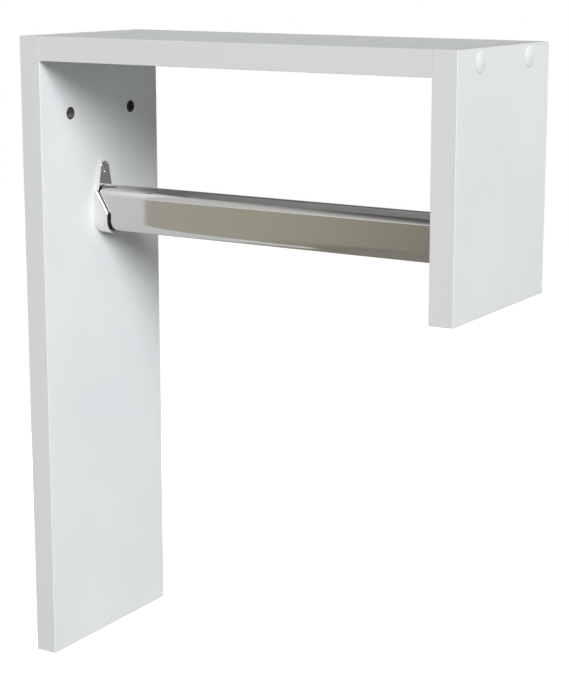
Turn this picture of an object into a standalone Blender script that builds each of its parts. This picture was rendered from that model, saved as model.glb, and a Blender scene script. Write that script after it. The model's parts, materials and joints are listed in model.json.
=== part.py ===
"""Wall coat rack: two upright boards, a shelf between them and an oval rail in two open cups.

The origin lies on the wall face, midway between the two wall-screw holes. +Y points into the wall,
+Z is up and the rack is symmetric in X.
"""

import math
from collections import namedtuple

import bmesh
import bpy
from mathutils import Matrix, Vector

MM = 0.001

# Boards
REACH = 300 * MM  # wall face to the outer face of the front panel
BACK_HEIGHT = 400 * MM
FRONT_HEIGHT = 150 * MM
WIDTH = 120 * MM
BOARD = 15 * MM  # thickness of every board
JOINT_GAP = 0.15 * MM  # butt joints and glue lines

# Edge bands on the cut edges that show
BAND = 1.0 * MM
BAND_ROUND = 0.5 * MM

# Wall-screw holes in the back panel
WALL_HOLE_DROP = 49 * MM  # below the top face
WALL_HOLE_SPACING = 62 * MM
WALL_HOLE = 6 * MM
WALL_COUNTERBORE = 8 * MM
WALL_COUNTERBORE_DEPTH = 4 * MM

# Hanging rail, an oval tube
RAIL_WIDTH = 15 * MM
RAIL_HEIGHT = 30 * MM
RAIL_WALL = 1.0 * MM
RAIL_TOP_DROP = 97 * MM  # rail's top below the top face
RAIL_END_CLEARANCE = 0.7 * MM
RAIL_SIDE_CLEARANCE = 0.5 * MM
SEAT_GAP = 0.3 * MM  # under the rail, behind the cups and around the screws

# Rail supports, cast cups with a tongue
PLATE = 2.0 * MM
CUP_WALL = 1.6 * MM
CUP_DEPTH = 10.4 * MM  # back of the plate to the front rim
RIM_DROP = 3.4 * MM  # rim at the plate, below the rail's top
FRONT_LIP = 3.2 * MM  # straight wall left at the front rim, above the round bottom
TONGUE_SETBACK = 0.75 * MM  # tongue's foot, inside the cup's inner wall
TONGUE_RISE = 15.2 * MM  # above the rail's top
TONGUE_TOP_RADIUS = 4.2 * MM
CAST_ROUND = 0.3 * MM

# Screws
Screw = namedtuple("Screw", "head shank rim length tip slot_length slot_width slot_depth")
SHELF_SCREW = Screw(
    head=8 * MM,
    shank=4 * MM,
    rim=0.4 * MM,
    length=40 * MM,
    tip=5 * MM,
    slot_length=4.4 * MM,
    slot_width=1.1 * MM,
    slot_depth=1.7 * MM,
)
SUPPORT_SCREW = Screw(
    head=5.6 * MM,
    shank=3 * MM,
    rim=0.3 * MM,
    length=12 * MM,
    tip=3 * MM,
    slot_length=3.2 * MM,
    slot_width=0.8 * MM,
    slot_depth=1.0 * MM,
)
SLOT_TAPER = 0.6  # foot of a cross recess over its mouth
SHELF_SCREW_DROP = BOARD / 2  # axis below the top face
SHELF_SCREW_SPACING = 64 * MM
SHELF_HEAD_RECESS = 0.5 * MM  # head below the board's outer face
SUPPORT_HEAD_RECESS = 0.1 * MM
PILOT_SPARE = 0.5 * MM  # hole beyond the screw's tip

# Covers over the front panel's screws
CAP_DIAMETER = 12 * MM
CAP_EDGE = 0.3 * MM
CAP_CROWN = 0.75 * MM

# Facets
HOLE_SEGMENTS = 24
SCREW_SEGMENTS = 20
CAP_SEGMENTS = 32
HALF_ROUND_SEGMENTS = 16
SHOULDER_SEGMENTS = 4
BAND_ROUND_SEGMENTS = 3
CAST_ROUND_SEGMENTS = 3
CROWN_SEGMENTS = 4
SHARP_ANGLE = math.radians(35)
CUT_OVERSHOOT = 1 * MM
WELD = 0.01 * MM

# Places that follow from the sizes
TOP_Z = WALL_HOLE_DROP
BACK_INNER_Y = -BOARD
FRONT_OUTER_Y = -REACH
FRONT_INNER_Y = BOARD - REACH
RAIL_Z = TOP_Z - RAIL_TOP_DROP - RAIL_HEIGHT / 2
RAIL_Y = (BACK_INNER_Y + FRONT_INNER_Y) / 2
CORE_WIDTH = WIDTH - 2 * (BAND + JOINT_GAP)
SHELF_LENGTH = BACK_INNER_Y - FRONT_INNER_Y - 2 * JOINT_GAP
RAIL_LENGTH = BACK_INNER_Y - FRONT_INNER_Y - 2 * (SEAT_GAP + PLATE + RAIL_END_CLEARANCE)
CUP_INNER = RAIL_WIDTH / 2 + RAIL_SIDE_CLEARANCE
CUP_OUTER = CUP_INNER + CUP_WALL
CUP_CENTRE_Z = CUP_INNER - RAIL_HEIGHT / 2 - SEAT_GAP  # of the round bottom, from the rail's axis
TONGUE_TOP_Z = RAIL_HEIGHT / 2 + TONGUE_RISE - TONGUE_TOP_RADIUS  # centre of the tongue's round top

X_AXIS = Vector((1, 0, 0))
Y_AXIS = Vector((0, 1, 0))
Z_AXIS = Vector((0, 0, 1))
FACING_WALL = (-math.pi / 2, 0, 0)  # turns local +Z to +Y
FACING_ROOM = (math.pi / 2, 0, 0)  # turns local +Z to -Y
HALF_TURN = (0, 0, math.pi)


def clear_scene():
    for old in list(bpy.data.objects):
        bpy.data.objects.remove(old)


def finish(name, colour, roughness, metallic=0.0):
    material = bpy.data.materials.new(name)
    material.use_nodes = True
    shader = material.node_tree.nodes["Principled BSDF"]
    shader.inputs["Base Color"].default_value = (*colour, 1)
    shader.inputs["Roughness"].default_value = roughness
    shader.inputs["Metallic"].default_value = metallic
    return material


def to_mesh(name, bm, smooth=False):
    bmesh.ops.recalc_face_normals(bm, faces=bm.faces)
    mesh = bpy.data.meshes.new(name)
    bm.to_mesh(mesh)
    bm.free()
    if smooth:
        mesh.shade_smooth()
        mesh.set_sharp_from_angle(angle=SHARP_ANGLE)
    return mesh


def place(name, mesh, parent, location=(0, 0, 0), rotation=(0, 0, 0), material=None):
    piece = bpy.data.objects.new(name, mesh)
    bpy.context.scene.collection.objects.link(piece)
    piece.parent = parent
    piece.location = location
    piece.rotation_euler = rotation
    if material and not mesh.materials:
        mesh.materials.append(material)
    return piece


def cutter(name, mesh, parent, location, rotation=(0, 0, 0)):
    tool = place(name, mesh, parent, location, rotation)
    tool.display_type = "WIRE"
    tool.hide_render = True
    return tool


def cut(piece, tool):
    boolean = piece.modifiers.new(tool.name, "BOOLEAN")
    boolean.operation = "DIFFERENCE"
    boolean.object = tool


def arc(centre, radius, start, end, segments):
    """Points on an arc, from the start angle to the end angle in radians."""
    step = (end - start) / segments
    angles = [start + step * i for i in range(segments + 1)]
    return [(centre[0] + radius * math.cos(a), centre[1] + radius * math.sin(a)) for a in angles]


def block(size):
    bm = bmesh.new()
    bmesh.ops.create_cube(bm, size=1)
    bmesh.ops.scale(bm, vec=size, verts=bm.verts)
    return bm


def prism(outline, depth):
    """Solid with an (x, z) outline, grown along +Y."""
    bm = bmesh.new()
    face = bm.faces.new([bm.verts.new((x, 0, z)) for x, z in outline])
    grown = bmesh.ops.extrude_face_region(bm, geom=[face])["geom"]
    moved = [part for part in grown if isinstance(part, bmesh.types.BMVert)]
    bmesh.ops.translate(bm, vec=(0, depth, 0), verts=moved)
    return bm


def turned(profile, segments):
    """Solid turned about Z from (radius, z) points that start and end on the axis."""
    bm = bmesh.new()
    verts = [bm.verts.new((radius, 0, z)) for radius, z in profile]
    edges = [bm.edges.new(pair) for pair in zip(verts, verts[1:])]
    bmesh.ops.spin(
        bm,
        geom=verts + edges,
        cent=(0, 0, 0),
        axis=Z_AXIS,
        angle=2 * math.pi,
        steps=segments,
        use_merge=True,
    )
    bmesh.ops.remove_doubles(bm, verts=bm.verts, dist=WELD)
    return bm


def make_board(name, size, centre, parent, material):
    return place(name, to_mesh(name, block(size)), parent, centre, material=material)


def band_outline():
    """Cross-section of an edge band: X across the board, Z outwards, with two rounded outer edges."""
    half = BOARD / 2
    corner = (half - BAND_ROUND, BAND - BAND_ROUND)
    right = arc(corner, BAND_ROUND, 0, math.pi / 2, BAND_ROUND_SEGMENTS)
    left = [(-x, z) for x, z in reversed(right)]
    return [(-half, 0), (half, 0), *right, *left]


def make_band(name, start, along, outwards, length, parent, material):
    """Edge band from the middle of a board's cut edge, running the given way."""
    turn = Matrix((along.cross(outwards), along, outwards)).transposed().to_euler()
    mesh = to_mesh(name, prism(band_outline(), length), smooth=True)
    return place(name, mesh, parent, start, turn, material)


def band_panel(name, middle_y, height, parent, material):
    """The four bands of an upright board: the side bands run full length, the end bands fit between."""
    side_x = WIDTH / 2 - BAND
    bottom_z = TOP_Z - height
    for side, outwards in (("left", -X_AXIS), ("right", X_AXIS)):
        start = (outwards.x * side_x, middle_y, bottom_z)
        make_band(f"{name}_edge_band_{side}", start, Z_AXIS, outwards, height, parent, material)
    ends = (("top", Z_AXIS, TOP_Z - BAND), ("bottom", -Z_AXIS, bottom_z + BAND))
    for end, outwards, edge_z in ends:
        start = (-CORE_WIDTH / 2, middle_y, edge_z)
        make_band(f"{name}_edge_band_{end}", start, X_AXIS, outwards, CORE_WIDTH, parent, material)


def wall_hole_mesh():
    """Cutter for a wall-screw hole: its counterbore opens at local z = 0, the bore runs down."""
    bore = WALL_HOLE / 2
    wide = WALL_COUNTERBORE / 2
    profile = [
        (0, CUT_OVERSHOOT),
        (wide, CUT_OVERSHOOT),
        (wide, -WALL_COUNTERBORE_DEPTH),
        (bore, -WALL_COUNTERBORE_DEPTH),
        (bore, -BOARD - CUT_OVERSHOOT),
        (0, -BOARD - CUT_OVERSHOOT),
    ]
    return to_mesh("wall_hole", turned(profile, HOLE_SEGMENTS))


def screw_hole_mesh(screw):
    """Cutter for a countersunk hole around a screw whose head's top is at local z = 0."""
    head = screw.head / 2 + SEAT_GAP
    shank = screw.shank / 2 + SEAT_GAP
    depth = screw.length + PILOT_SPARE
    profile = [
        (0, CUT_OVERSHOOT),
        (head, CUT_OVERSHOOT),
        (head, -screw.rim - SEAT_GAP),
        (shank, -screw.rim - SEAT_GAP - (head - shank)),
        (shank, -depth),
        (0, -depth),
    ]
    return to_mesh("screw_hole", turned(profile, HOLE_SEGMENTS))


def cross_recess(screw):
    """Cutter for the cross recess in a screw's head, narrower at its foot."""
    half = screw.slot_length / 2
    thin = screw.slot_width / 2
    corner = [(half, -thin), (half, thin), (thin, thin)]
    quarters = [Matrix.Rotation(quarter * math.pi / 2, 2) for quarter in range(4)]
    outline = [turn @ Vector(point) for turn in quarters for point in corner]
    bm = bmesh.new()
    face = bm.faces.new([bm.verts.new((x, y, CUT_OVERSHOOT)) for x, y in outline])
    grown = bmesh.ops.extrude_face_region(bm, geom=[face])["geom"]
    foot = [part for part in grown if isinstance(part, bmesh.types.BMVert)]
    bmesh.ops.translate(bm, vec=(0, 0, -CUT_OVERSHOOT - screw.slot_depth), verts=foot)
    bmesh.ops.scale(bm, vec=(SLOT_TAPER, SLOT_TAPER, 1), verts=foot)
    return to_mesh("cross_recess", bm)


def screw_mesh(name, screw):
    """Countersunk screw, head's top at local z = 0 and the shank running down to a point."""
    head = screw.head / 2
    shank = screw.shank / 2
    profile = [
        (0, 0),
        (head, 0),
        (head, -screw.rim),
        (shank, -screw.rim - (head - shank)),
        (shank, screw.tip - screw.length),
        (0, -screw.length),
    ]
    blank = place("screw_blank", to_mesh(name, turned(profile, SCREW_SEGMENTS)), None)
    recess = cutter("recess", cross_recess(screw), None, (0, 0, 0))
    cut(blank, recess)
    view = bpy.context.evaluated_depsgraph_get()
    mesh = bpy.data.meshes.new_from_object(blank.evaluated_get(view))
    mesh.shade_smooth()
    mesh.set_sharp_from_angle(angle=SHARP_ANGLE)
    bpy.data.objects.remove(blank)
    bpy.data.objects.remove(recess)
    return mesh


def cap_mesh():
    """Thin round cover with a low crown, its back at local z = 0."""
    radius = CAP_DIAMETER / 2
    rise = CAP_CROWN - CAP_EDGE
    shares = [step / CROWN_SEGMENTS for step in range(CROWN_SEGMENTS + 1)]
    crown = [(radius * share, CAP_EDGE + rise * (1 - share**2)) for share in shares]
    return to_mesh("screw_cap", turned([*crown, (radius, 0), (0, 0)], CAP_SEGMENTS), smooth=True)


def oval(width, height):
    """Outline with round top and bottom and straight sides, about the origin."""
    radius = width / 2
    straight = height / 2 - radius
    top = arc((0, straight), radius, 0, math.pi, HALF_ROUND_SEGMENTS)
    bottom = arc((0, -straight), radius, math.pi, 2 * math.pi, HALF_ROUND_SEGMENTS)
    return top + bottom


def rail_mesh():
    """Oval tube along Y, open at both ends, about the middle of its length."""
    bm = bmesh.new()
    rings = []
    for shrink in (0, 2 * RAIL_WALL):
        outline = oval(RAIL_WIDTH - shrink, RAIL_HEIGHT - shrink)
        verts = [bm.verts.new((x, -RAIL_LENGTH / 2, z)) for x, z in outline]
        rings += [bm.edges.new(pair) for pair in zip(verts, verts[1:] + verts[:1])]
    end = bmesh.ops.bridge_loops(bm, edges=rings)["faces"]
    grown = bmesh.ops.extrude_face_region(bm, geom=end)["geom"]
    moved = [part for part in grown if isinstance(part, bmesh.types.BMVert)]
    bmesh.ops.translate(bm, vec=(0, RAIL_LENGTH, 0), verts=moved)
    return to_mesh("hanging_rail", bm, smooth=True)


def mirrored(points):
    return [(-x, z) for x, z in reversed(points)]


def support_mesh():
    """Cast rail support, its plate's back at local y = 0 and its cup reaching along +Y.

    The rail's axis is at x = z = 0. One flat outline is split into the cup's wall and the plate's face,
    from the cup's floor up into the tongue. The wall grows forwards and its arms fall towards the front
    rim, then the whole outline grows backwards into the plate.
    """
    foot = CUP_INNER - TONGUE_SETBACK
    shoulder = CUP_OUTER - foot
    inner_angle = math.acos(TONGUE_SETBACK / shoulder)
    rim_z = RAIL_HEIGHT / 2 - RIM_DROP
    shoulder_z = rim_z - shoulder * math.sin(inner_angle)
    arm_top = arc((foot, shoulder_z), shoulder, 0, inner_angle, SHOULDER_SEGMENTS)
    shoulder_top = arc((foot, shoulder_z), shoulder, inner_angle, math.pi / 2, SHOULDER_SEGMENTS)[1:]
    reach = Vector((foot, shoulder_z + shoulder - TONGUE_TOP_Z))
    touch = math.atan2(reach.y, reach.x) + math.acos(TONGUE_TOP_RADIUS / reach.length)
    top = arc((0, TONGUE_TOP_Z), TONGUE_TOP_RADIUS, touch, math.pi - touch, HALF_ROUND_SEGMENTS)
    outer = arc((0, CUP_CENTRE_Z), CUP_OUTER, math.pi, 2 * math.pi, HALF_ROUND_SEGMENTS)
    inner = arc((0, CUP_CENTRE_Z), CUP_INNER, 0, -math.pi, HALF_ROUND_SEGMENTS)

    bm = bmesh.new()

    def verts(points):
        return [bm.verts.new((x, PLATE, z)) for x, z in points]

    right_arm = verts(arm_top)
    left_arm = verts(mirrored(arm_top))
    inner_bottom = verts(inner)
    tongue = verts([*shoulder_top, *top, *mirrored(shoulder_top)])
    wall = bm.faces.new([*verts(outer), *right_arm, *inner_bottom, *left_arm])
    bm.faces.new([right_arm[-1], *tongue, left_arm[0], *reversed(inner_bottom)])

    grown = bmesh.ops.extrude_face_region(bm, geom=[wall])["geom"]
    bmesh.ops.delete(bm, geom=[wall], context="FACES_ONLY")
    front = [part for part in grown if isinstance(part, bmesh.types.BMVert)]
    bmesh.ops.translate(bm, vec=(0, CUP_DEPTH - PLATE, 0), verts=front)
    arms = [vert for vert in front if vert.co.z > shoulder_z - WELD]
    fall = shoulder_z - CUP_CENTRE_Z - FRONT_LIP
    bmesh.ops.translate(bm, vec=(0, 0, -fall), verts=arms)

    outline = [edge for edge in bm.edges if edge.is_boundary]
    grown = bmesh.ops.extrude_edge_only(bm, edges=outline)["geom"]
    back = [part for part in grown if isinstance(part, bmesh.types.BMVert)]
    bmesh.ops.translate(bm, vec=(0, -PLATE, 0), verts=back)
    rear = [edge for edge in bm.edges if edge.is_boundary]
    bmesh.ops.contextual_create(bm, geom=rear)
    round_casting(bm)
    return to_mesh("rail_support", bm, smooth=True)


def round_casting(bm):
    """Rounds the outer edges of a casting, apart from those of its back."""
    bmesh.ops.recalc_face_normals(bm, faces=bm.faces)
    edges = [
        edge
        for edge in bm.edges
        if edge.is_convex
        and edge.calc_face_angle() > SHARP_ANGLE
        and max(vert.co.y for vert in edge.verts) > WELD
    ]
    bmesh.ops.bevel(
        bm,
        geom=edges,
        offset=CAST_ROUND,
        offset_type="OFFSET",
        segments=CAST_ROUND_SEGMENTS,
        profile=0.5,
        affect="EDGES",
        clamp_overlap=True,
    )
    bmesh.ops.remove_doubles(bm, verts=bm.verts, dist=WELD)


def build():
    clear_scene()
    melamine = finish("white_melamine", (0.83, 0.84, 0.84), 0.45)
    edge_pvc = finish("white_edge_pvc", (0.80, 0.81, 0.81), 0.4)
    chromed_tube = finish("chromed_steel_tube", (0.72, 0.71, 0.69), 0.08, 1.0)
    chromed_casting = finish("chromed_zinc_casting", (0.74, 0.74, 0.73), 0.14, 1.0)
    zinc_plate = finish("zinc_plated_steel", (0.60, 0.60, 0.58), 0.35, 1.0)
    cover_plastic = finish("white_cover_plastic", (0.86, 0.86, 0.86), 0.4)

    rack = place("coat_rack", None, None)
    rail_lift = place("rail_lift", None, rack, (0, RAIL_Y, RAIL_Z))

    # Boards
    band_loss = 2 * (BAND + JOINT_GAP)
    panels = {}
    for name, middle_y, height in (
        ("back", BACK_INNER_Y + BOARD / 2, BACK_HEIGHT),
        ("front", FRONT_OUTER_Y + BOARD / 2, FRONT_HEIGHT),
    ):
        size = (CORE_WIDTH, BOARD, height - band_loss)
        centre = (0, middle_y, TOP_Z - height / 2)
        panels[name] = make_board(f"{name}_panel", size, centre, rack, melamine)
        band_panel(name, middle_y, height, rack, edge_pvc)
    shelf_z = TOP_Z - BOARD / 2
    shelf_size = (CORE_WIDTH, SHELF_LENGTH, BOARD)
    shelf = make_board("shelf_panel", shelf_size, (0, RAIL_Y, shelf_z), rack, melamine)
    for side, outwards in (("left", -X_AXIS), ("right", X_AXIS)):
        start = (outwards.x * (WIDTH / 2 - BAND), RAIL_Y - SHELF_LENGTH / 2, shelf_z)
        make_band(f"shelf_edge_band_{side}", start, Y_AXIS, outwards, SHELF_LENGTH, rack, edge_pvc)

    # Wall-screw holes, counterbored from the room side
    wall_hole = wall_hole_mesh()
    for side, sign in (("left", -1), ("right", 1)):
        spot = (sign * WALL_HOLE_SPACING / 2, BACK_INNER_Y, 0)
        cut(panels["back"], cutter(f"wall_hole_{side}", wall_hole, rack, spot, FACING_ROOM))

    # Hanging rail, which lifts out of its cups
    place("hanging_rail", rail_mesh(), rail_lift, material=chromed_tube)

    # Rail supports, each with a screw in its tongue and one in its cup
    support_hole = screw_hole_mesh(SUPPORT_SCREW)
    support_screw = screw_mesh("support_screw", SUPPORT_SCREW)
    cast = support_mesh()
    for name, inner_y, sign, turn, facing in (
        ("back", BACK_INNER_Y, -1, HALF_TURN, FACING_ROOM),
        ("front", FRONT_INNER_Y, 1, (0, 0, 0), FACING_WALL),
    ):
        seat_y = inner_y + sign * SEAT_GAP
        support = place(f"rail_support_{name}", cast, rack, (0, seat_y, RAIL_Z), turn, chromed_casting)
        head_y = seat_y + sign * (PLATE - SUPPORT_HEAD_RECESS)
        for level, height in (("upper", TONGUE_TOP_Z), ("lower", 0)):
            spot = (0, head_y, RAIL_Z + height)
            hole = cutter(f"support_hole_{name}_{level}", support_hole, rack, spot, facing)
            cut(support, hole)
            cut(panels[name], hole)
            place(f"support_screw_{name}_{level}", support_screw, rack, spot, facing, zinc_plate)

    # Shelf screws through both uprights, and the covers on the front ones
    shelf_hole = screw_hole_mesh(SHELF_SCREW)
    shelf_screw = screw_mesh("shelf_screw", SHELF_SCREW)
    cap = cap_mesh()
    for side, sign in (("left", -1), ("right", 1)):
        across = sign * SHELF_SCREW_SPACING / 2
        axis_z = TOP_Z - SHELF_SCREW_DROP
        for name, head_y, facing in (
            ("back", -SHELF_HEAD_RECESS, FACING_WALL),
            ("front", FRONT_OUTER_Y + SHELF_HEAD_RECESS, FACING_ROOM),
        ):
            spot = (across, head_y, axis_z)
            hole = cutter(f"shelf_hole_{name}_{side}", shelf_hole, rack, spot, facing)
            cut(panels[name], hole)
            cut(shelf, hole)
            place(f"shelf_screw_{name}_{side}", shelf_screw, rack, spot, facing, zinc_plate)
        cap_spot = (across, FRONT_OUTER_Y - JOINT_GAP, axis_z)
        place(f"screw_cap_{side}", cap, rack, cap_spot, FACING_ROOM, cover_plastic)


build()
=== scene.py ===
import json
import math

import bmesh
import bpy
from mathutils import Matrix, Vector

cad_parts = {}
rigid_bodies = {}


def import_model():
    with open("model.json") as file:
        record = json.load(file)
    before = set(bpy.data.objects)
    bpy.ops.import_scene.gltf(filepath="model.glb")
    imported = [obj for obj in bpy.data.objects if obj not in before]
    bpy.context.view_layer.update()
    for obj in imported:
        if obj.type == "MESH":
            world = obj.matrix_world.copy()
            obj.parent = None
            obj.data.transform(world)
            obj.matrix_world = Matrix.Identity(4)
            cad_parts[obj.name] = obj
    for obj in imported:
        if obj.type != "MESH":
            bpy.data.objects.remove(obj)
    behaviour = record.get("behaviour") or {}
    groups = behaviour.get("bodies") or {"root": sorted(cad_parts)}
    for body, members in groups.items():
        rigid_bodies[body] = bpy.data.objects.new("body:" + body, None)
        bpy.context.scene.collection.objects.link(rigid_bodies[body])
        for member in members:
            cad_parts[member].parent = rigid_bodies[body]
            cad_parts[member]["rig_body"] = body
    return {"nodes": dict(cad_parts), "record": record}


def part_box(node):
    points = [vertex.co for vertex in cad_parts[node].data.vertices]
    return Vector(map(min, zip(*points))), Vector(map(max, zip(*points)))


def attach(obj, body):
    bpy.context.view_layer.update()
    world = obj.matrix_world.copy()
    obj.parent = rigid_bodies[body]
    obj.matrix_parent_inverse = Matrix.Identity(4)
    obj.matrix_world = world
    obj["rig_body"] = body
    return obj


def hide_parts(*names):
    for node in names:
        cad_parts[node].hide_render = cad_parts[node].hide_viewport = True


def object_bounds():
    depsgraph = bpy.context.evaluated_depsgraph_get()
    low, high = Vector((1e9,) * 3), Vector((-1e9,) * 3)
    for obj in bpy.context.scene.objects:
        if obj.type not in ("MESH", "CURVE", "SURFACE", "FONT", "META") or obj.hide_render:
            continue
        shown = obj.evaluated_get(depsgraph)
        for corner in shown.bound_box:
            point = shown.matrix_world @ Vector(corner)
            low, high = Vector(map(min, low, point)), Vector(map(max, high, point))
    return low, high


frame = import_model()
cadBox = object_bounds()
scene = bpy.context.scene
mm = 0.001
metreMm = 1000  # Object coordinates are in metres and pattern sizes in mm
print("frame loaded:", len(frame["nodes"]), "nodes")

# points within weld are one point, faces within flatDegrees are one flat
meshing = dict(weld=0.002 * mm, flatDegrees=0.3, smoothDegrees=30, flatWeight=100)


def linear(hexCode):  # sRGB hex to the linear colour that the sockets take
    parts = [int(hexCode[i:i + 2], 16) / 255 for i in (1, 3, 5)]
    return [p / 12.92 if p <= 0.04045 else ((p + 0.055) / 1.055) ** 2.4 for p in parts] + [1.0]


def addNode(tree, kind, settings=None, links=None):
    node = tree.nodes.new(kind)
    for name, value in (settings or {}).items():
        if name == "stops":  # colour ramp, a list of place and hex
            ramp = node.color_ramp.elements
            while len(ramp) < len(value):
                ramp.new(0.5)
            for stop, (place, hexCode) in zip(ramp, value):
                stop.position, stop.color = place, linear(hexCode)
        elif isinstance(name, int) or name in node.inputs:
            node.inputs[name].default_value = value
        else:
            setattr(node, name, value)
    for name, socket in (links or {}).items():
        tree.links.new(socket, node.inputs[name])
    return node


def startMaterial(name, looks):
    material = bpy.data.materials.new(name)
    material.use_nodes = True
    shader = material.node_tree.nodes["Principled BSDF"]
    for socket, value in looks.items():
        shader.inputs[socket].default_value = value
    return material, material.node_tree, shader


def addPiece(name, bm, materials, node, smoothDegrees=meshing["smoothDegrees"], evenFlats=False):
    mesh = bpy.data.meshes.new(name)
    bm.to_mesh(mesh)
    bm.free()
    mesh.shade_smooth()
    mesh.set_sharp_from_angle(angle=math.radians(smoothDegrees))
    for material in materials:
        mesh.materials.append(material)
    piece = bpy.data.objects.new(name, mesh)
    scene.collection.objects.link(piece)
    if evenFlats:  # keeps flat faces flat beside rounded edges
        flats = piece.modifiers.new("evenFlats", "WEIGHTED_NORMAL")
        flats.keep_sharp = True
        flats.weight = meshing["flatWeight"]
    body = frame["nodes"][node]["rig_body"]
    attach(piece, body)
    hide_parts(node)
    return piece


def boxMesh(low, high):
    bm = bmesh.new()
    bmesh.ops.create_cube(bm, size=1)
    bmesh.ops.scale(bm, vec=high - low, verts=bm.verts)
    bmesh.ops.translate(bm, vec=(low + high) / 2, verts=bm.verts)
    return bm


def spinProfile(profile, segments):  # profile of (radius, z) points that starts and ends on the z axis
    bm = bmesh.new()
    verts = [bm.verts.new((radius, 0, z)) for radius, z in profile]
    edges = [bm.edges.new(pair) for pair in zip(verts, verts[1:])]
    bmesh.ops.spin(bm, geom=verts + edges, cent=(0, 0, 0), axis=(0, 0, 1), angle=2 * math.pi,
                   steps=segments, use_merge=True)
    bmesh.ops.remove_doubles(bm, verts=bm.verts, dist=meshing["weld"])
    bmesh.ops.recalc_face_normals(bm, faces=bm.faces)
    return bm


def mergedCopy(node):  # the CAD node's triangles, joined up and its flats made whole again
    bm = bmesh.new()
    bm.from_mesh(frame["nodes"][node].data)
    bmesh.ops.remove_doubles(bm, verts=bm.verts, dist=meshing["weld"])
    flat = math.radians(meshing["flatDegrees"])
    bmesh.ops.dissolve_limit(bm, angle_limit=flat, verts=bm.verts, edges=bm.edges)
    bmesh.ops.recalc_face_normals(bm, faces=bm.faces)
    return bm


melamine = dict(ior=1.5, gloss=0.35, tints=[(0.3, "#E3E6E8"), (0.7, "#E9ECED")], cloudMm=80,
                cloudDetail=3.0, pearlMm=2.2, pearlDetail=1.0, roughLow=0.40, roughHigh=0.50, bump=0.06,
                bumpDeep=0.05 * mm)


def melamineWhite():
    # resin-faced white board pressed on a finely pearled plate: an even white with a soft broken sheen
    material, tree, shader = startMaterial(
        "melamineSatinWhite", {"IOR": melamine["ior"], "Specular IOR Level": melamine["gloss"]})
    where = addNode(tree, "ShaderNodeTexCoord").outputs["Object"]
    cloud = addNode(tree, "ShaderNodeTexNoise",
                    {"Scale": metreMm / melamine["cloudMm"], "Detail": melamine["cloudDetail"]},
                    {"Vector": where})
    tint = addNode(tree, "ShaderNodeValToRGB", {"stops": melamine["tints"]}, {"Fac": cloud.outputs["Fac"]})
    tree.links.new(tint.outputs["Color"], shader.inputs["Base Color"])
    # the real pearl is about 0.8 mm, drawn coarser so that it shows
    pearl = addNode(tree, "ShaderNodeTexNoise",
                    {"Scale": metreMm / melamine["pearlMm"], "Detail": melamine["pearlDetail"]},
                    {"Vector": where})
    rough = addNode(tree, "ShaderNodeMapRange",
                    {"To Min": melamine["roughLow"], "To Max": melamine["roughHigh"]},
                    {"Value": pearl.outputs["Fac"]})
    tree.links.new(rough.outputs["Result"], shader.inputs["Roughness"])
    bump = addNode(tree, "ShaderNodeBump",
                   {"Strength": melamine["bump"], "Distance": melamine["bumpDeep"]},
                   {"Height": pearl.outputs["Fac"]})
    tree.links.new(bump.outputs["Normal"], shader.inputs["Normal"])
    return material


edgePvc = dict(ior=1.53, gloss=0.35, tints=[(0.25, "#E6E8E8"), (0.75, "#E9EBEB")], lineMm=1.6, runMm=120,
               lineDetail=2.0, roughLow=0.38, roughHigh=0.44, bump=0.02, bumpDeep=0.04 * mm)


def edgeBandPvc(run):
    # extruded white PVC: a touch smoother than the board, with faint drawn lines along the strip
    material, tree, shader = startMaterial(
        "edgeBandPvcAlong" + "XYZ"[run], {"IOR": edgePvc["ior"], "Specular IOR Level": edgePvc["gloss"]})
    where = addNode(tree, "ShaderNodeTexCoord").outputs["Object"]
    # real drawn lines are a few tenths of a mm apart, drawn coarser so that they show
    stretch = [metreMm / edgePvc["lineMm"]] * 3
    stretch[run] = metreMm / edgePvc["runMm"]
    drawn = addNode(tree, "ShaderNodeMapping", {"Scale": stretch}, {"Vector": where})
    lines = addNode(tree, "ShaderNodeTexNoise", {"Scale": 1.0, "Detail": edgePvc["lineDetail"]},
                    {"Vector": drawn.outputs["Vector"]})
    tint = addNode(tree, "ShaderNodeValToRGB", {"stops": edgePvc["tints"]}, {"Fac": lines.outputs["Fac"]})
    tree.links.new(tint.outputs["Color"], shader.inputs["Base Color"])
    rough = addNode(tree, "ShaderNodeMapRange",
                    {"To Min": edgePvc["roughLow"], "To Max": edgePvc["roughHigh"]},
                    {"Value": lines.outputs["Fac"]})
    tree.links.new(rough.outputs["Result"], shader.inputs["Roughness"])
    bump = addNode(tree, "ShaderNodeBump",
                   {"Strength": edgePvc["bump"], "Distance": edgePvc["bumpDeep"]},
                   {"Height": lines.outputs["Fac"]})
    tree.links.new(bump.outputs["Normal"], shader.inputs["Normal"])
    return material


boardCore = dict(rough=0.9, ior=1.45, tints=[(0.1, "#45413C"), (0.9, "#847D75")], chipMm=2.4, bump=0.6,
                 bumpDeep=0.2 * mm)


def particleBoardCore():
    # drilled particle board: pressed wood chips in several grey browns, dull and rough
    material, tree, shader = startMaterial(
        "particleBoardDrilled", {"Roughness": boardCore["rough"], "IOR": boardCore["ior"]})
    where = addNode(tree, "ShaderNodeTexCoord").outputs["Object"]
    chips = addNode(tree, "ShaderNodeTexVoronoi", {"Scale": metreMm / boardCore["chipMm"]}, {"Vector": where})
    tint = addNode(tree, "ShaderNodeValToRGB", {"stops": boardCore["tints"]},
                   {"Fac": chips.outputs["Color"]})
    tree.links.new(tint.outputs["Color"], shader.inputs["Base Color"])
    bump = addNode(tree, "ShaderNodeBump",
                   {"Strength": boardCore["bump"], "Distance": boardCore["bumpDeep"]},
                   {"Height": chips.outputs["Distance"]})
    tree.links.new(bump.outputs["Normal"], shader.inputs["Normal"])
    return material


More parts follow.
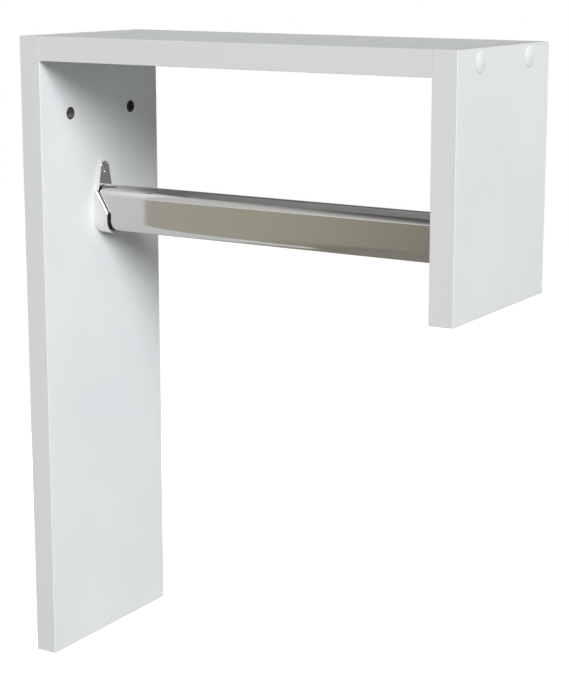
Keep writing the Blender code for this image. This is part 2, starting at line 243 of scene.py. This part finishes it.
tubeChrome = dict(colour="#D1D1CF", lineMm=0.9, runMm=160, lineDetail=3.0, roughLow=0.07, roughHigh=0.13,
                  waveMm=45, waveDetail=0.0, bump=0.03, bumpDeep=1.0 * mm)


def chromedTube():
    # bright chrome over drawn steel tube: mirror-like, with faint drawing lines and a slow waver in
    # what it reflects
    material, tree, shader = startMaterial(
        "chromePlatedDrawnSteel", {"Base Color": linear(tubeChrome["colour"]), "Metallic": 1.0})
    where = addNode(tree, "ShaderNodeTexCoord").outputs["Object"]
    # real drawing lines are about 0.1 mm apart, drawn coarser so that they show
    across, along = metreMm / tubeChrome["lineMm"], metreMm / tubeChrome["runMm"]
    drawn = addNode(tree, "ShaderNodeMapping", {"Scale": (across, along, across)}, {"Vector": where})
    lines = addNode(tree, "ShaderNodeTexNoise", {"Scale": 1.0, "Detail": tubeChrome["lineDetail"]},
                    {"Vector": drawn.outputs["Vector"]})
    rough = addNode(tree, "ShaderNodeMapRange",
                    {"To Min": tubeChrome["roughLow"], "To Max": tubeChrome["roughHigh"]},
                    {"Value": lines.outputs["Fac"]})
    tree.links.new(rough.outputs["Result"], shader.inputs["Roughness"])
    waver = addNode(tree, "ShaderNodeTexNoise",
                    {"Scale": metreMm / tubeChrome["waveMm"], "Detail": tubeChrome["waveDetail"]},
                    {"Vector": where})
    bump = addNode(tree, "ShaderNodeBump",
                   {"Strength": tubeChrome["bump"], "Distance": tubeChrome["bumpDeep"]},
                   {"Height": waver.outputs["Fac"]})
    tree.links.new(bump.outputs["Normal"], shader.inputs["Normal"])
    return material


castChrome = dict(colour="#F0F0EE", peelMm=3.0, peelDetail=2.0, roughLow=0.03, roughHigh=0.09, bump=0.05,
                  bumpDeep=0.15 * mm)


def chromedCasting():
    # chrome over a die-cast zinc body: bright and mirror-like, with the slight orange peel of a casting
    material, tree, shader = startMaterial(
        "chromePlatedZincCasting", {"Base Color": linear(castChrome["colour"]), "Metallic": 1.0})
    where = addNode(tree, "ShaderNodeTexCoord").outputs["Object"]
    peel = addNode(tree, "ShaderNodeTexNoise",
                   {"Scale": metreMm / castChrome["peelMm"], "Detail": castChrome["peelDetail"]},
                   {"Vector": where})
    rough = addNode(tree, "ShaderNodeMapRange",
                    {"To Min": castChrome["roughLow"], "To Max": castChrome["roughHigh"]},
                    {"Value": peel.outputs["Fac"]})
    tree.links.new(rough.outputs["Result"], shader.inputs["Roughness"])
    bump = addNode(tree, "ShaderNodeBump",
                   {"Strength": castChrome["bump"], "Distance": castChrome["bumpDeep"]},
                   {"Height": peel.outputs["Fac"]})
    tree.links.new(bump.outputs["Normal"], shader.inputs["Normal"])
    return material


screwZinc = dict(tints=[(0.3, "#9C9B96"), (0.7, "#C9C8C2")], patchMm=1.4, patchDetail=3.0, roughLow=0.25,
                 roughHigh=0.42)


def zincScrew():
    # bright zinc plate on a steel screw: dull silver with cloudy patches
    material, tree, shader = startMaterial("zincPlatedScrewSteel", {"Metallic": 1.0})
    where = addNode(tree, "ShaderNodeTexCoord").outputs["Object"]
    patches = addNode(tree, "ShaderNodeTexNoise",
                      {"Scale": metreMm / screwZinc["patchMm"], "Detail": screwZinc["patchDetail"]},
                      {"Vector": where})
    tint = addNode(tree, "ShaderNodeValToRGB", {"stops": screwZinc["tints"]},
                   {"Fac": patches.outputs["Fac"]})
    tree.links.new(tint.outputs["Color"], shader.inputs["Base Color"])
    rough = addNode(tree, "ShaderNodeMapRange",
                    {"To Min": screwZinc["roughLow"], "To Max": screwZinc["roughHigh"]},
                    {"Value": patches.outputs["Fac"]})
    tree.links.new(rough.outputs["Result"], shader.inputs["Roughness"])
    return material


coverPlastic = dict(ior=1.54, gloss=0.35, tints=[(0.3, "#E8EBEC"), (0.7, "#ECEFF0")], grainMm=0.9,
                    grainDetail=2.0, roughLow=0.36, roughHigh=0.44, bump=0.04, bumpDeep=0.03 * mm)


def coverAbs():
    # moulded white ABS: brighter and smoother than the board round it
    material, tree, shader = startMaterial(
        "mouldedAbsWhite", {"IOR": coverPlastic["ior"], "Specular IOR Level": coverPlastic["gloss"]})
    where = addNode(tree, "ShaderNodeTexCoord").outputs["Object"]
    # the real mould grain is about 0.2 mm, drawn coarser so that it shows
    grain = addNode(tree, "ShaderNodeTexNoise",
                    {"Scale": metreMm / coverPlastic["grainMm"], "Detail": coverPlastic["grainDetail"]},
                    {"Vector": where})
    tint = addNode(tree, "ShaderNodeValToRGB", {"stops": coverPlastic["tints"]},
                   {"Fac": grain.outputs["Fac"]})
    tree.links.new(tint.outputs["Color"], shader.inputs["Base Color"])
    rough = addNode(tree, "ShaderNodeMapRange",
                    {"To Min": coverPlastic["roughLow"], "To Max": coverPlastic["roughHigh"]},
                    {"Value": grain.outputs["Fac"]})
    tree.links.new(rough.outputs["Result"], shader.inputs["Roughness"])
    bump = addNode(tree, "ShaderNodeBump",
                   {"Strength": coverPlastic["bump"], "Distance": coverPlastic["bumpDeep"]},
                   {"Height": grain.outputs["Fac"]})
    tree.links.new(bump.outputs["Normal"], shader.inputs["Normal"])
    return material


whiteFace = melamineWhite()
bandAlong = [edgeBandPvc(run) for run in range(3)]
rawCore = particleBoardCore()
railChrome = chromedTube()
cupChrome = chromedCasting()
screwSteel = zincScrew()
coverWhite = coverAbs()
print("materials ready")

# glueLine closes most of each glue gap and leaves a fine line, drillPast starts a cutter clear of the face
boards = dict(glueLine=0.13 * mm, arris=0.15 * mm, arrisSegments=2, smoothDegrees=20, wallHole=6 * mm,
              counterbore=8 * mm, counterboreDepth=4 * mm, screwHead=8.6 * mm, screwShank=4.6 * mm,
              headDepth=1.2 * mm, screwDepth=20 * mm, drillPast=2 * mm, holeSegments=48)


def drillTool(profile, spot, facing):  # cutter turned about z, then laid along the hole
    bm = spinProfile(profile, boards["holeSegments"])
    turn = Matrix.Translation(spot) @ facing.to_track_quat("Z", "X").to_matrix().to_4x4()
    bmesh.ops.transform(bm, matrix=turn, verts=bm.verts)
    mesh = bpy.data.meshes.new("drill")
    bm.to_mesh(mesh)
    bm.free()
    mesh.materials.append(rawCore)
    tool = bpy.data.objects.new("drill", mesh)
    scene.collection.objects.link(tool)
    return tool


def drill(piece, tools):
    for tool in tools:
        cut = piece.modifiers.new("drill", "BOOLEAN")
        cut.operation = "DIFFERENCE"
        cut.solver = "EXACT"
        cut.material_mode = "TRANSFER"
        cut.object = tool
    drilled = bpy.data.meshes.new_from_object(piece.evaluated_get(bpy.context.evaluated_depsgraph_get()))
    piece.modifiers.clear()
    undrilled = piece.data
    piece.data = drilled
    bpy.data.meshes.remove(undrilled)
    drilled.shade_smooth()
    drilled.set_sharp_from_angle(angle=math.radians(boards["smoothDegrees"]))
    for tool in tools:
        bpy.data.objects.remove(tool)


def addBoard(name, node, glued):  # glued has 1 for each axis with a glued or butted edge
    low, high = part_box(node)
    grow = Vector(glued) * boards["glueLine"]
    bm = boxMesh(low - grow, high + grow)
    bmesh.ops.bevel(bm, geom=bm.edges[:], offset=boards["arris"], segments=boards["arrisSegments"],
                    profile=0.5, affect="EDGES", material=-1)
    return addPiece(name, bm, [whiteFace, rawCore], node, boards["smoothDegrees"])


backBoard = addBoard("backBoard", "back_panel", (1, 0, 1))
addBoard("shelfBoard", "shelf_panel", (1, 1, 0))
addBoard("frontBoard", "front_panel", (1, 0, 1))

intoRoom = Vector((0, -1, 0))
intoWall = Vector((0, 1, 0))
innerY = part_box("back_panel")[0].y
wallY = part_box("back_panel")[1].y
past = boards["drillPast"]
tools = []

# stepped wall holes, cut from the inner face right through
wide, bore = boards["counterbore"] / 2, boards["wallHole"] / 2
step, through = -boards["counterboreDepth"], innerY - wallY - past
wallProfile = [(0, past), (wide, past), (wide, step), (bore, step), (bore, through), (0, through)]
wallHoles = [gap["box_m"] for gap in frame["record"]["physics"]["openings"]
             if gap["name"].startswith("wall_screw")]
for low, high in wallHoles:
    spot = Vector(((low[0] + high[0]) / 2, innerY, (low[2] + high[2]) / 2))
    tools.append(drillTool(wallProfile, spot, intoRoom))

# countersunk screw holes, cut from the wall face
head, shank = boards["screwHead"] / 2, boards["screwShank"] / 2
rim, neck, tip = -boards["headDepth"], -boards["headDepth"] - (head - shank), -boards["screwDepth"]
sinkProfile = [(0, past), (head, past), (head, rim), (shank, neck), (shank, tip), (0, tip)]
for side in ("left", "right"):
    low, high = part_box("shelf_screw_back_" + side)
    spot = Vector(((low.x + high.x) / 2, wallY, (low.z + high.z) / 2))
    tools.append(drillTool(sinkProfile, spot, intoWall))
drill(backBoard, tools)
print("boards cut and drilled")

# an edge within touch of the board's side is the glued one and stays square
bands = dict(glueLine=0.13 * mm, round=0.3 * mm, roundSegments=5, touch=0.01 * mm)


def addBand(name, node, board, butted):  # a butted band ends against its neighbours, others show their ends
    low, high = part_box(node)
    size = high - low
    run = max(range(3), key=lambda i: size[i])
    out = min(range(3), key=lambda i: size[i])
    if butted:
        low[run] -= bands["glueLine"]
        high[run] += bands["glueLine"]
    boardLow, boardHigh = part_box(board)
    outwards = low[out] + high[out] > boardLow[out] + boardHigh[out]
    inner = low[out] if outwards else high[out]
    bm = boxMesh(low, high)
    rounded = []
    for edge in bm.edges:
        start, end = (vert.co for vert in edge.verts)
        along = max(range(3), key=lambda i: abs(end[i] - start[i]))
        glued = all(abs(point[out] - inner) < bands["touch"] for point in (start, end))
        if not glued and (along == run or not butted):
            rounded.append(edge)
    bmesh.ops.bevel(bm, geom=rounded, offset=bands["round"], segments=bands["roundSegments"], profile=0.5,
                    affect="EDGES", material=-1)
    addPiece(name, bm, [bandAlong[run]], node, evenFlats=True)


for board, nodeStart in (("back_panel", "back"), ("front_panel", "front")):
    for side in ("left", "right", "top", "bottom"):
        addBand(nodeStart + "Band" + side.capitalize(), nodeStart + "_edge_band_" + side, board,
                side in ("top", "bottom"))
for side in ("left", "right"):
    addBand("shelfBand" + side.capitalize(), "shelf_edge_band_" + side, "shelf_panel", True)
print("edge bands on")

# edges sharper than rimDegrees are the tube's cut ends
rail = dict(wall=1.0 * mm, segments=96, deburr=0.2 * mm, deburrSegments=2, rimDegrees=60)


def addRail():
    low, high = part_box("hanging_rail")
    radius = (high.x - low.x) / 2
    straight = (high.z - low.z) / 2 - radius
    middle = (low + high) / 2
    bm = bmesh.new()
    halfStep = Matrix.Rotation(math.pi / rail["segments"], 3, "Z")  # leaves no point on the level axis
    for shrink in (0, rail["wall"]):
        ring = bmesh.ops.create_circle(bm, segments=rail["segments"], radius=radius - shrink)["verts"]
        bmesh.ops.rotate(bm, cent=(0, 0, 0), matrix=halfStep, verts=ring)
        for vert in ring:  # pulled apart into an oval
            vert.co.y += math.copysign(straight, vert.co.y)
    end = bmesh.ops.bridge_loops(bm, edges=bm.edges[:])["faces"]
    grown = bmesh.ops.extrude_face_region(bm, geom=end)["geom"]
    farEnd = [part for part in grown if isinstance(part, bmesh.types.BMVert)]
    bmesh.ops.translate(bm, vec=(0, 0, high.y - low.y), verts=farEnd)
    lying = Matrix.Rotation(math.pi / 2, 3, "X")  # the tube was made standing, it lies along y
    bmesh.ops.rotate(bm, cent=(0, 0, 0), matrix=lying, verts=bm.verts)
    bmesh.ops.translate(bm, vec=(middle.x, high.y, middle.z), verts=bm.verts)
    bmesh.ops.recalc_face_normals(bm, faces=bm.faces)
    sharp = math.radians(rail["rimDegrees"])
    rims = [edge for edge in bm.edges if edge.is_manifold and edge.calc_face_angle() > sharp]
    bmesh.ops.bevel(bm, geom=rims, offset=rail["deburr"], segments=rail["deburrSegments"], profile=0.5,
                    affect="EDGES", material=-1)
    return addPiece("hangingRail", bm, [railChrome], "hanging_rail", evenFlats=True)


railPiece = addRail()
print("rail laid in")

# cups and screws keep their CAD shapes
cups = dict(smoothDegrees=35)

for side in ("back", "front"):
    node = "rail_support_" + side
    addPiece("railCup" + side.capitalize(), mergedCopy(node), [cupChrome], node,
             smoothDegrees=cups["smoothDegrees"], evenFlats=True)
    for level in ("upper", "lower"):
        node = f"support_screw_{side}_{level}"
        addPiece("cupScrew" + side.capitalize() + level.capitalize(), mergedCopy(node), [screwSteel], node)
    for hand in ("left", "right"):
        node = f"shelf_screw_{side}_{hand}"
        addPiece("shelfScrew" + side.capitalize() + hand.capitalize(), mergedCopy(node), [screwSteel], node)
print("supports and screws on")

covers = dict(edge=0.25 * mm, segments=64, roundSteps=5, crownSteps=8, smoothDegrees=50)


def addCover(name, node):
    low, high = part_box(node)
    radius = (high.x - low.x) / 2
    thick = high.y - low.y
    edge = covers["edge"]
    crownRadius = radius - edge
    profile = []
    for i in range(covers["crownSteps"] + 1):  # low crown from the middle out
        share = i / covers["crownSteps"]
        profile.append((crownRadius * share, edge + (thick - edge) * (1 - share ** 2)))
    for i in range(1, covers["roundSteps"]):  # rounded rim down to the back
        angle = math.pi / 2 * i / covers["roundSteps"]
        profile.append((crownRadius + edge * math.sin(angle), edge * math.cos(angle)))
    profile += [(radius, 0), (0, 0)]
    bm = spinProfile(profile, covers["segments"])
    turn = intoRoom.to_track_quat("Z", "X").to_matrix()
    bmesh.ops.rotate(bm, cent=(0, 0, 0), matrix=turn, verts=bm.verts)
    bmesh.ops.translate(bm, vec=((low.x + high.x) / 2, high.y, (low.z + high.z) / 2), verts=bm.verts)
    addPiece(name, bm, [coverWhite], node, smoothDegrees=covers["smoothDegrees"])


for side in ("left", "right"):
    addCover("screwCover" + side.capitalize(), "screw_cap_" + side)
print("covers on")

# fill comes from the world, less from above, and the floor glows a little less under the rack than far off
studio = dict(fillLevel=0.135, fillAbove=0.04, fillFadesBy=0.6, floorDrop=0.95, floorSize=14.0,
              floorColour="#9A9A98", floorRough=0.9, floorGloss=0.1, floorGlow=0.86, glowNear=2.2,
              glowFar=5.0)


def seenAsBackground(tree):  # 1 for the camera's view and for what metal or glass mirrors to it, else 0
    path = addNode(tree, "ShaderNodeLightPath")
    either = addNode(tree, "ShaderNodeMath", {"operation": "MAXIMUM"},
                     {0: path.outputs["Is Camera Ray"], 1: path.outputs["Is Glossy Ray"]})
    seen = addNode(tree, "ShaderNodeMath", {"operation": "MAXIMUM"},
                   {0: either.outputs[0], 1: path.outputs["Is Transmission Ray"]})
    # metal doesn't throw the white background on to the boards beside it
    fresh = addNode(tree, "ShaderNodeMath", {"operation": "LESS_THAN", 1: 0.5},
                    {0: path.outputs["Diffuse Depth"]})
    both = addNode(tree, "ShaderNodeMath", {"operation": "MINIMUM"},
                   {0: seen.outputs[0], 1: fresh.outputs[0]})
    return both.outputs[0]


def addWorld():
    world = bpy.data.worlds.new("paleStudio")
    scene.world = world
    world.use_nodes = True
    tree = world.node_tree
    background = tree.nodes["Background"]
    background.inputs["Color"].default_value = (1, 1, 1, 1)
    where = addNode(tree, "ShaderNodeTexCoord").outputs["Generated"]
    height = addNode(tree, "ShaderNodeSeparateXYZ", links={"Vector": where}).outputs["Z"]
    fill = addNode(tree, "ShaderNodeMapRange",
                   {"From Max": studio["fillFadesBy"], "To Min": studio["fillLevel"],
                    "To Max": studio["fillAbove"]},
                   {"Value": height})
    strength = addNode(tree, "ShaderNodeMapRange", {"To Max": 1.0},
                       {"Value": seenAsBackground(tree), "To Min": fill.outputs["Result"]})
    tree.links.new(strength.outputs["Result"], background.inputs["Strength"])


def addPlane(name, size, spot, turn=Matrix()):
    bm = bmesh.new()
    place = Matrix.Translation(spot) @ turn
    bmesh.ops.create_grid(bm, x_segments=1, y_segments=1, size=size / 2, matrix=place)
    mesh = bpy.data.meshes.new(name)
    bm.to_mesh(mesh)
    bm.free()
    plane = bpy.data.objects.new(name, mesh)
    scene.collection.objects.link(plane)
    return plane


def addFloor():
    floor = addPlane("studioFloor", studio["floorSize"], (0, 0, cadBox[0].z - studio["floorDrop"]))
    material, tree, shader = startMaterial(
        "mattePaleFloor", {"Base Color": linear(studio["floorColour"]), "Roughness": studio["floorRough"],
                           "Specular IOR Level": studio["floorGloss"], "Emission Color": (1, 1, 1, 1)})
    where = addNode(tree, "ShaderNodeTexCoord").outputs["Object"]
    away = addNode(tree, "ShaderNodeVectorMath", {"operation": "LENGTH"}, {0: where}).outputs["Value"]
    level = addNode(tree, "ShaderNodeMapRange",
                    {"From Min": studio["glowNear"], "From Max": studio["glowFar"],
                     "To Min": studio["floorGlow"], "To Max": 1.0},
                    {"Value": away})
    glow = addNode(tree, "ShaderNodeMath", {"operation": "MULTIPLY"},
                   {0: seenAsBackground(tree), 1: level.outputs["Result"]})
    tree.links.new(glow.outputs[0], shader.inputs["Emission Strength"])
    floor.data.materials.append(material)


# a card is a glowing sheet that only polished metal sees, so its tints are a painted reflection; it has one
# tint, or tints that run along a direction over a span, in metres or by angle from the rack
cards = dict(
    warm=dict(size=16.0, place=(0, 0, -0.45), along=(0, 1, -0.3), span=(0.2, 0.7),
              byAngle=True,
              tints=[(0.2, "#969288"), (0.36, "#8F8D80"), (0.44, "#9B9687"), (0.56, "#ABA596"),
                     (0.68, "#B6B2A2"), (0.83, "#BCB7AB")]),
    dark=dict(size=3.4, place=(-1.2, -1.99, -0.44), along=(-0.77, -0.64, 0), span=(0.0, 4.0),
              byAngle=False,
              tints=[(0.03, "#242423"), (0.19, "#3E3E3C"), (0.315, "#6E6E6B"), (0.45, "#6E6E6B"),
                     (0.555, "#0E0E0D"), (0.63, "#0E0E0D"), (0.7, "#5E5E5B")]),
    mid=dict(size=3.4, place=(2.6, -1.8, -0.44), tint="#787876"),
    pale=dict(size=4.6, place=(-2.5, 1.5, 2.4), turn=57, along=(0, 1, -0.25), span=(0.27, 0.57),
              byAngle=True,
              tints=[(0.03, "#626260"), (0.13, "#828280"), (0.22, "#A6A6A3"), (0.37, "#CACAC7"),
                     (0.52, "#E3E3E0"), (0.83, "#DFDFDC")]),
    dull=dict(size=6.0, place=(4.6, 2.9, 2.2), turn=-58, along=(0.514, -0.858, 0), span=(0.0, 0.1),
              byAngle=True,
              tints=[(0.0, "#747472"), (1.0, "#5E5E5C")]))


def addCard(kind):  # only polished metal sees a card
    card = cards[kind]
    turn = Matrix()
    if "turn" in card:  # stood up
        turn = Matrix.Rotation(math.radians(card["turn"]), 4, "Z") @ Matrix.Rotation(math.pi / 2, 4, "X")
    plane = addPlane(kind + "Card", card["size"], card["place"], turn)
    # the tint glows as emission, a painted reflection for the chrome and not a lit board
    material, tree, shader = startMaterial(
        kind + "PaintedReflectionGlow", {"Base Color": (0, 0, 0, 1), "Specular IOR Level": 0.0})
    if "tint" in card:
        shader.inputs["Emission Color"].default_value = linear(card["tint"])
    else:
        where = addNode(tree, "ShaderNodeTexCoord").outputs["Object"]
        if card["byAngle"]:
            unit = addNode(tree, "ShaderNodeVectorMath", {"operation": "NORMALIZE"}, {0: where})
            where = unit.outputs["Vector"]
        along = addNode(tree, "ShaderNodeVectorMath", {"operation": "DOT_PRODUCT", 1: card["along"]},
                        {0: where})
        part = addNode(tree, "ShaderNodeMapRange",
                       {"From Min": card["span"][0], "From Max": card["span"][1]},
                       {"Value": along.outputs["Value"]})
        shade = addNode(tree, "ShaderNodeValToRGB", {"stops": card["tints"]},
                        {"Fac": part.outputs["Result"]})
        tree.links.new(shade.outputs["Color"], shader.inputs["Emission Color"])
    level = addNode(tree, "ShaderNodeMapRange", {"To Min": studio["fillLevel"], "To Max": 1.0},
                    {"Value": seenAsBackground(tree)})
    tree.links.new(level.outputs["Result"], shader.inputs["Emission Strength"])
    plane.data.materials.append(material)
    plane.visible_camera = plane.visible_diffuse = plane.visible_shadow = False
    plane.visible_transmission = plane.visible_volume_scatter = False


# the back fill reaches the wall face
lamps = dict(softKey=dict(towards=(-0.56, -0.675, 0.52), away=12.0, size=6.4, watts=1800.0),
             backFill=dict(towards=(0.72, 0.62, 0.0), away=4.0, size=2.0, watts=128.0))


def addLamp(name):
    light = bpy.data.lights.new(name, "AREA")
    light.shape = "SQUARE"
    light.size = lamps[name]["size"]
    light.energy = lamps[name]["watts"]
    lamp = bpy.data.objects.new(name, light)
    scene.collection.objects.link(lamp)
    towards = Vector(lamps[name]["towards"]).normalized()
    lamp.location = (cadBox[0] + cadBox[1]) / 2 + towards * lamps[name]["away"]
    lamp.rotation_euler = towards.to_track_quat("Z", "Y").to_euler()
    lamp.visible_camera = False
    return lamp


addWorld()
addFloor()
for kind in cards:
    addCard(kind)
noGlare = bpy.data.collections.new("noGlare")  # the tube mirrors the pale studio and not the lamp itself
noGlare.objects.link(railPiece)
noGlare.collection_objects[0].light_linking.link_state = "EXCLUDE"
addLamp("softKey").light_linking.receiver_collection = noGlare
addLamp("backFill").visible_glossy = False
scene.view_settings.view_transform = "Standard"
print("studio lit")

# the sensor spans the long side of the frame
shot = dict(place=(-0.87232, -0.70252, 0.09619), turnDegrees=(79.1903, -0.1679, -59.0469), lens=88.552,
            sensor=36, shift=(-0.0512, -0.0902), clip=(0.01, 50))


def addCamera():
    camera = bpy.data.objects.new("photoCamera", bpy.data.cameras.new("photoCamera"))
    scene.collection.objects.link(camera)
    camera.location = shot["place"]
    camera.rotation_euler = [math.radians(degrees) for degrees in shot["turnDegrees"]]
    camera.data.lens = shot["lens"]
    camera.data.sensor_width = shot["sensor"]
    camera.data.shift_x, camera.data.shift_y = shot["shift"]
    camera.data.clip_start, camera.data.clip_end = shot["clip"]
    scene.camera = camera


addCamera()
print("camera set")
